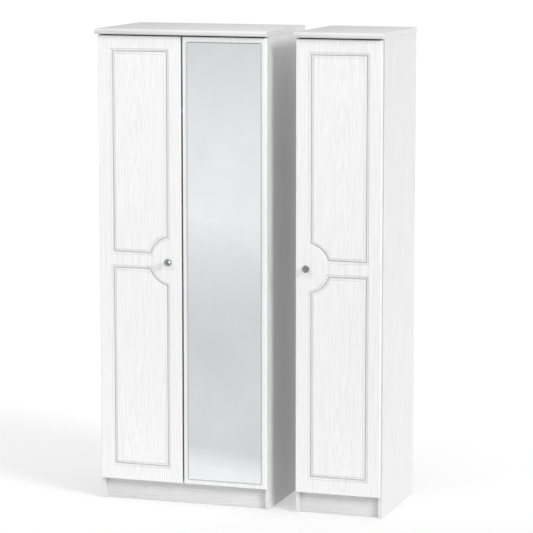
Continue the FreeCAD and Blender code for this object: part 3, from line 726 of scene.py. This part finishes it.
def woodgrain(name, centre, grain, face, tint, figure=1.0):
    """White foil embossed with ash: long pores along the grain, and a cathedral figure of stretched rings
    around a centre, broken up by noise. grain and face are the axes that the grain runs along and the
    board faces, and figure is how strongly the rings show. Shade is painted into the mouldings: the colour
    darkens towards each crease."""
    finish = bpy.context.scene.wardrobe_finishes
    material, tree = new_tree(name)
    points = object_points(tree, grain_scale(grain, face, 0.022), centre)
    pores = stretch(tree, noise(tree, points, 560.0, 3.0, 0.6), 0.48, 0.68)
    streaks = stretch(tree, noise(tree, points, 170.0, 3.0, 0.55), 0.35, 0.70)
    ring_points = object_points(tree, grain_scale(grain, face, 0.075), centre)
    warp = noise(tree, ring_points, 11.0, 2.0)
    rings = node(tree, "ShaderNodeTexWave", {"wave_type": "RINGS", "rings_direction": "SPHERICAL"}, {
        "Vector": ring_points, "Scale": 34.0, "Distortion": 6.0,
        "Detail": 2.0, "Detail Scale": 1.6, "Phase Offset": warp}).outputs["Fac"]
    veins = maths(tree, "MULTIPLY", stretch(tree, rings, 0.55, 1.0, 0.0, figure),
                  stretch(tree, pores, 0.0, 1.0, 0.45, 1.0))
    height = maths(tree, "ADD", maths(tree, "MULTIPLY", veins, 0.55), maths(tree, "MULTIPLY", pores, 0.45))
    shade = maths(tree, "ADD", maths(tree, "MULTIPLY", height, 0.60), maths(tree, "MULTIPLY", streaks, 0.40))
    depth = maths(tree, "SUBTRACT", 1.0, height)
    roughness = stretch(tree, height, 0.0, 1.0, finish.foil_roughness - 0.04, finish.foil_roughness + 0.14)
    foil = blend_colours(tree, stretch(tree, shade, 0.12, 0.80), tint,
                         [channel * finish.pore_shade for channel in tint])
    # Painted shade: the foil colour darkens with depth in the moulding, towards the crease.
    painted_shade_depth = node(tree, "ShaderNodeAttribute", {"attribute_name": "painted_shade_depth"}).outputs["Fac"]
    surface(tree, {
        "Base Color": blend_colours(tree, painted_shade_depth, foil, [channel * finish.groove_painted_shade for channel in tint]),
        "Roughness": roughness,
        "Normal": bump(tree, depth, finish.emboss, 0.35),
    })
    return material


def plain_board(name, tint, grain):
    """Smooth melamine: a faint linear texture and slight unevenness of the gloss."""
    material, tree = new_tree(name)
    stretched = [1.0, 1.0, 1.0]
    stretched[grain] = 0.05
    lines = noise(tree, object_points(tree, stretched), 420.0, 3.0)
    cloud = noise(tree, object_points(tree, (1, 1, 1)), 6.0, 3.0)
    darker = [channel * 0.96 for channel in tint]
    surface(tree, {
        "Base Color": blend_colours(tree, stretch(tree, lines, 0.3, 0.8), tint, darker),
        "Roughness": stretch(tree, cloud, 0.3, 0.7, 0.36, 0.48),
        "Normal": bump(tree, lines, 0.08 * MM, 0.4),
    })
    return material


def painted_hardboard():
    """Thin paint over pressed fibre: a fine pebble with scattered longer fibres."""
    tint = bpy.context.scene.wardrobe_finishes.hardboard
    material, tree = new_tree("painted_hardboard")
    points = object_points(tree, (1, 1, 1))
    pebble = noise(tree, points, 700.0, 4.0, 0.7)
    fibres = stretch(tree, noise(tree, points, 160.0, 2.0, 0.5, 3.0), 0.56, 0.75)
    height = maths(tree, "ADD", maths(tree, "MULTIPLY", pebble, 0.6), maths(tree, "MULTIPLY", fibres, 0.4))
    surface(tree, {
        "Base Color": blend_colours(tree, height, tint, [channel * 0.93 for channel in tint]),
        "Roughness": stretch(tree, height, 0.0, 1.0, 0.55, 0.75),
        "Normal": bump(tree, height, 0.15 * MM, 0.5),
    })
    return material


def beech():
    """Pale pink-brown wood with short flecks along the dowel."""
    material, tree = new_tree("beech")
    points = object_points(tree, (0.15, 1, 1))
    fleck = stretch(tree, noise(tree, points, 900.0, 3.0, 0.6), 0.45, 0.7)
    surface(tree, {
        "Base Color": blend_colours(tree, fleck, (0.76, 0.56, 0.36), (0.60, 0.40, 0.24)),
        "Roughness": stretch(tree, fleck, 0, 1, 0.5, 0.7),
        "Normal": bump(tree, fleck, 0.1 * MM, 0.5),
    })
    return material


def plated_steel(name, tint, low, high, scale):
    """Plated pressed steel: fine drawing lines, and soft blotches in the tint and the gloss."""
    material, tree = new_tree(name)
    lines = noise(tree, object_points(tree, (1, 0.06, 1)), scale, 3.0, 0.6)
    blotch = noise(tree, object_points(tree, (1, 1, 1)), 60.0, 3.0)
    drawn = maths(tree, "MULTIPLY", lines, 0.06)
    rough = maths(tree, "ADD", stretch(tree, blotch, 0.3, 0.7, low, high), drawn)
    darker = [channel * 0.86 for channel in tint]
    surface(tree, {
        "Base Color": blend_colours(tree, stretch(tree, blotch, 0.35, 0.7), tint, darker),
        "Metallic": 1.0,
        "Roughness": rough,
        "Normal": bump(tree, lines, 0.02 * MM, 0.5),
    })
    return material


def polished_chrome():
    """Bright chrome with faint polishing haze."""
    material, tree = new_tree("polished_chrome")
    haze = noise(tree, object_points(tree, (1, 1, 1)), 140.0, 4.0)
    surface(tree, {
        "Base Color": blend_colours(tree, haze, (0.88, 0.89, 0.90), (0.78, 0.79, 0.81)),
        "Metallic": 1.0,
        "Roughness": stretch(tree, haze, 0.3, 0.7, 0.03, 0.10),
    })
    return material


def silvered_glass():
    """Mirror: near-perfect reflection, slightly uneven in gloss, and a rougher ground bevel whose darker
    silvering is partly its finish and partly painted shade along the mirror's edge.
    """
    # The bevel's silvering is set darker: partly its ground finish, partly painted shade along the mirror's
    # edge.
    ground_and_painted_shade = 0.52
    ground_roughness = 0.35
    tint = bpy.context.scene.wardrobe_finishes.silver
    material, tree = new_tree("silvered_glass")
    cloud = noise(tree, object_points(tree, (1, 1, 0.7)), 5.0, 3.0, 0.5, 0.6)
    silver = blend_colours(tree, stretch(tree, cloud, 0.3, 0.7), tint, [channel * 0.95 for channel in tint])
    ground = node(tree, "ShaderNodeAttribute", {"attribute_name": "ground"}).outputs["Fac"]
    clear = stretch(tree, cloud, 0.3, 0.7, 0.015, 0.045)
    surface(tree, {
        "Base Color": blend_colours(tree, ground, silver, [channel * ground_and_painted_shade for channel in tint]),
        "Metallic": 1.0,
        "Roughness": maths(tree, "ADD", clear, maths(tree, "MULTIPLY", ground, ground_roughness)),
    })
    return material


def cut_crystal():
    """Clear cut glass with a faint cloud in its tint."""
    material, tree = new_tree("cut_crystal")
    cloud = noise(tree, object_points(tree, (1, 1, 1)), 120.0, 3.0)
    surface(tree, {
        "Base Color": blend_colours(tree, cloud, (0.90, 0.91, 0.93), (0.80, 0.81, 0.83)),
        "Metallic": 0.12,
        "Transmission Weight": 0.9,
        "IOR": 1.6,
        "Roughness": stretch(tree, cloud, 0.3, 0.7, 0.0, 0.02),
    })
    return material


def clear_rubber():
    """Soft clear dots with a waxy surface."""
    material, tree = new_tree("clear_rubber")
    cloud = noise(tree, object_points(tree, (1, 1, 1)), 300.0, 3.0)
    surface(tree, {
        "Base Color": blend_colours(tree, cloud, (0.86, 0.87, 0.86), (0.78, 0.79, 0.78)),
        "Transmission Weight": 0.55,
        "IOR": 1.45,
        "Roughness": stretch(tree, cloud, 0.3, 0.7, 0.25, 0.4),
    })
    return material


def moulded_plastic(name, tint, pebble_scale):
    """Moulded plastic or foam: a fine pebble and slight variation of tone."""
    material, tree = new_tree(name)
    pebble = noise(tree, object_points(tree, (1, 1, 1)), pebble_scale, 3.0, 0.6)
    surface(tree, {
        "Base Color": blend_colours(tree, pebble, tint, [channel * 0.85 for channel in tint]),
        "Roughness": stretch(tree, pebble, 0.3, 0.7, 0.5, 0.7),
        "Normal": bump(tree, pebble, 0.05 * MM, 0.6),
    })
    return material


class WARDROBE_OT_finishes(bpy.types.Operator):
    """Give every node of the frame that stays visible its finish"""

    bl_idname = "wardrobe.finishes"
    bl_label = "Finishes"

    def execute(self, context):
        finish = context.scene.wardrobe_finishes
        made = {
            "white_board": plain_board("board_along_x", finish.board, 0),
            "white_hardboard": painted_hardboard(),
            "beech": beech(),
            "nickel_steel": plated_steel("nickel_plate", (0.74, 0.73, 0.70), 0.20, 0.34, 900.0),
            "zinc_steel": plated_steel("zinc_plate", (0.70, 0.72, 0.75), 0.28, 0.45, 1400.0),
            "chrome": polished_chrome(),
            "crystal": cut_crystal(),
            "mirror_glass": silvered_glass(),
            "foam_tape": moulded_plastic("foam_tape", (0.22, 0.22, 0.23), 1500.0),
            "clear_rubber": clear_rubber(),
            "white_plastic": moulded_plastic("white_plastic", (0.82, 0.82, 0.81), 900.0),
        }
        slots = {row["node"]: row["material_slot"] for row in frame["record"]["subparts"]}
        for name, item in frame["nodes"].items():
            slot = slots[name]
            if slot == "white_woodgrain":
                # These boards get the darker cabinet tint: painted shade.
                figure = (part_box(name)[0].x, 0.05, SIDE_FIGURE)
                material = woodgrain(f"{name}_foil", figure, "Z", "X", finish.carcass_shaded_foil, 0.6)
            else:
                material = made[slot]
            item.data.materials.clear()
            item.data.materials.append(material)
        return {"FINISHED"}


# ---- stage ------------------------------------------------------------------------------
def seen_from(azimuth, elevation):
    """Unit direction towards a viewer at this azimuth, to the right of straight ahead, and elevation."""
    level = math.cos(elevation)
    return Vector((math.sin(azimuth) * level, -math.cos(azimuth) * level, math.sin(elevation)))


def studio_sky(strength, back_share):
    """Surrounding light: bright overhead, dimmer level with the eye and dimmest from behind."""
    level_share = 0.3
    world = bpy.data.worlds.new("studio_sky")
    world.use_nodes = True
    tree = world.node_tree
    tree.nodes.clear()
    direction = node(tree, "ShaderNodeTexCoord").outputs["Generated"]
    split = node(tree, "ShaderNodeSeparateXYZ", None, {0: direction}).outputs
    front = stretch(tree, split["Y"], -0.3, 0.3, level_share, level_share * back_share)
    overhead = stretch(tree, split["Z"], 0.1, 0.6)
    rise = maths(tree, "MULTIPLY", overhead, maths(tree, "SUBTRACT", 1.0, front))
    level = maths(tree, "MULTIPLY", maths(tree, "ADD", front, rise), strength)
    background = node(tree, "ShaderNodeBackground", None, {"Color": (1.0, 1.0, 1.0, 1.0), "Strength": level})
    node(tree, "ShaderNodeOutputWorld", None, {"Surface": background.outputs[0]})
    bpy.context.scene.world = world


def pale_floor(stage):
    """A matte white floor that gives off a little light: behind the wardrobe it keeps the backdrop pale,
    and in front it is what the mirror shows."""
    nearest, farthest = FLOOR_GLOW[0][0], FLOOR_GLOW[-1][0]
    material, tree = new_tree("pale_floor")
    points = node(tree, "ShaderNodeTexCoord").outputs["Object"]
    mottle = noise(tree, points, 3.0, 3.0)
    split = node(tree, "ShaderNodeSeparateXYZ", None, {0: points}).outputs
    behind = maths(tree, "SUBTRACT", maths(tree, "MULTIPLY", split["Y"], math.cos(stage.azimuth)),
                   maths(tree, "MULTIPLY", split["X"], math.sin(stage.azimuth)))
    ramp = node(tree, "ShaderNodeValToRGB", None, {"Fac": stretch(tree, behind, -nearest, -farthest)})
    elements = ramp.color_ramp.elements
    elements.remove(elements[1])
    for index, (distance, level) in enumerate(FLOOR_GLOW):
        element = elements[0] if index == 0 else elements.new(1.0)
        element.position = (distance - nearest) / (farthest - nearest)
        element.color = (level, level, level, 1.0)
    surface(tree, {
        "Base Color": blend_colours(tree, mottle, (0.58, 0.58, 0.58), (0.56, 0.56, 0.56)),
        "Roughness": 0.9,
        "Specular IOR Level": 0.1,
        "Emission Color": (1.0, 1.0, 1.0, 1.0),
        "Emission Strength": ramp.outputs["Color"],
    })
    return material


class WARDROBE_OT_stage(bpy.types.Operator):
    """Set up the floor, the soft studio light and the camera"""

    bl_idname = "wardrobe.stage"
    bl_label = "Stage"

    def execute(self, context):
        stage = context.scene.wardrobe_stage
        context.scene.view_settings.view_transform = "Standard"
        studio_sky(stage.sky_strength, stage.back_share)

        corners = ((-1, -1), (1, -1), (1, 1), (-1, 1))
        mesh = bpy.data.meshes.new("floor")
        mesh.from_pydata([(x * FLOOR_REACH, y * FLOOR_REACH, 0) for x, y in corners], [], [(0, 1, 2, 3)])
        mesh.materials.append(pale_floor(stage))
        floor = bpy.data.objects.new("floor", mesh)
        context.scene.collection.objects.link(floor)

        sun = bpy.data.lights.new("key_light", "SUN")
        sun.energy = stage.key_strength
        sun.angle = stage.key_softness
        key = bpy.data.objects.new("key_light", sun)
        toward = seen_from(stage.key_azimuth, stage.key_elevation)
        key.rotation_euler = (-toward).to_track_quat("-Z", "Y").to_euler()
        context.scene.collection.objects.link(key)

        panel = bpy.data.lights.new("softbox", "AREA")
        panel.shape = "RECTANGLE"
        panel.size, panel.size_y = SOFTBOX_SIZE
        panel.energy = stage.softbox_power
        softbox = bpy.data.objects.new("softbox", panel)
        softbox.location = SOFTBOX_PLACE
        aim = Vector(SOFTBOX_AIM) - Vector(SOFTBOX_PLACE)
        softbox.rotation_euler = aim.to_track_quat("-Z", "Y").to_euler()
        context.scene.collection.objects.link(softbox)

        back = seen_from(stage.azimuth, stage.elevation)
        lens = bpy.data.cameras.new("camera")
        lens.lens = stage.lens
        lens.sensor_width = SENSOR_WIDTH
        lens.clip_end = CAMERA_SIGHT
        camera = bpy.data.objects.new("camera", lens)
        camera.location = Vector(CAMERA_AIM) + back * stage.distance
        camera.rotation_euler = (-back).to_track_quat("-Z", "Y").to_euler()
        context.scene.collection.objects.link(camera)
        context.scene.camera = camera
        return {"FINISHED"}


# ---- panel and registration -------------------------------------------------------------
STEPS = (
    WARDROBE_OT_finishes,
    WARDROBE_OT_panelled_doors,
    WARDROBE_OT_mirror_door,
    WARDROBE_OT_knobs,
    WARDROBE_OT_top_boards,
    WARDROBE_OT_bumpers,
    WARDROBE_OT_stage,
)


class WARDROBE_PT_steps(bpy.types.Panel):
    """Lists the steps that dress the wardrobe"""

    bl_idname = "WARDROBE_PT_steps"
    bl_label = "Wardrobe"
    bl_space_type = "VIEW_3D"
    bl_region_type = "UI"
    bl_category = "Wardrobe"

    def draw(self, context):
        for step in STEPS:
            self.layout.operator(step.bl_idname)


GROUPS = {
    "wardrobe_doors": WardrobeDoorSizes,
    "wardrobe_knobs": WardrobeKnobSizes,
    "wardrobe_finishes": WardrobeFinishes,
    "wardrobe_stage": WardrobeStage,
}


def register():
    for group in GROUPS.values():
        bpy.utils.register_class(group)
    for name, group in GROUPS.items():
        setattr(bpy.types.Scene, name, PointerProperty(type=group))
    for item in (*STEPS, WARDROBE_PT_steps):
        bpy.utils.register_class(item)


def unregister():
    for item in reversed((*STEPS, WARDROBE_PT_steps)):
        bpy.utils.unregister_class(item)
    for name in GROUPS:
        delattr(bpy.types.Scene, name)
    for group in reversed(GROUPS.values()):
        bpy.utils.unregister_class(group)


def main():
    register()
    for step in STEPS:
        area, name = step.bl_idname.split(".")
        getattr(getattr(bpy.ops, area), name)()


if __name__ == "__main__":
    main()
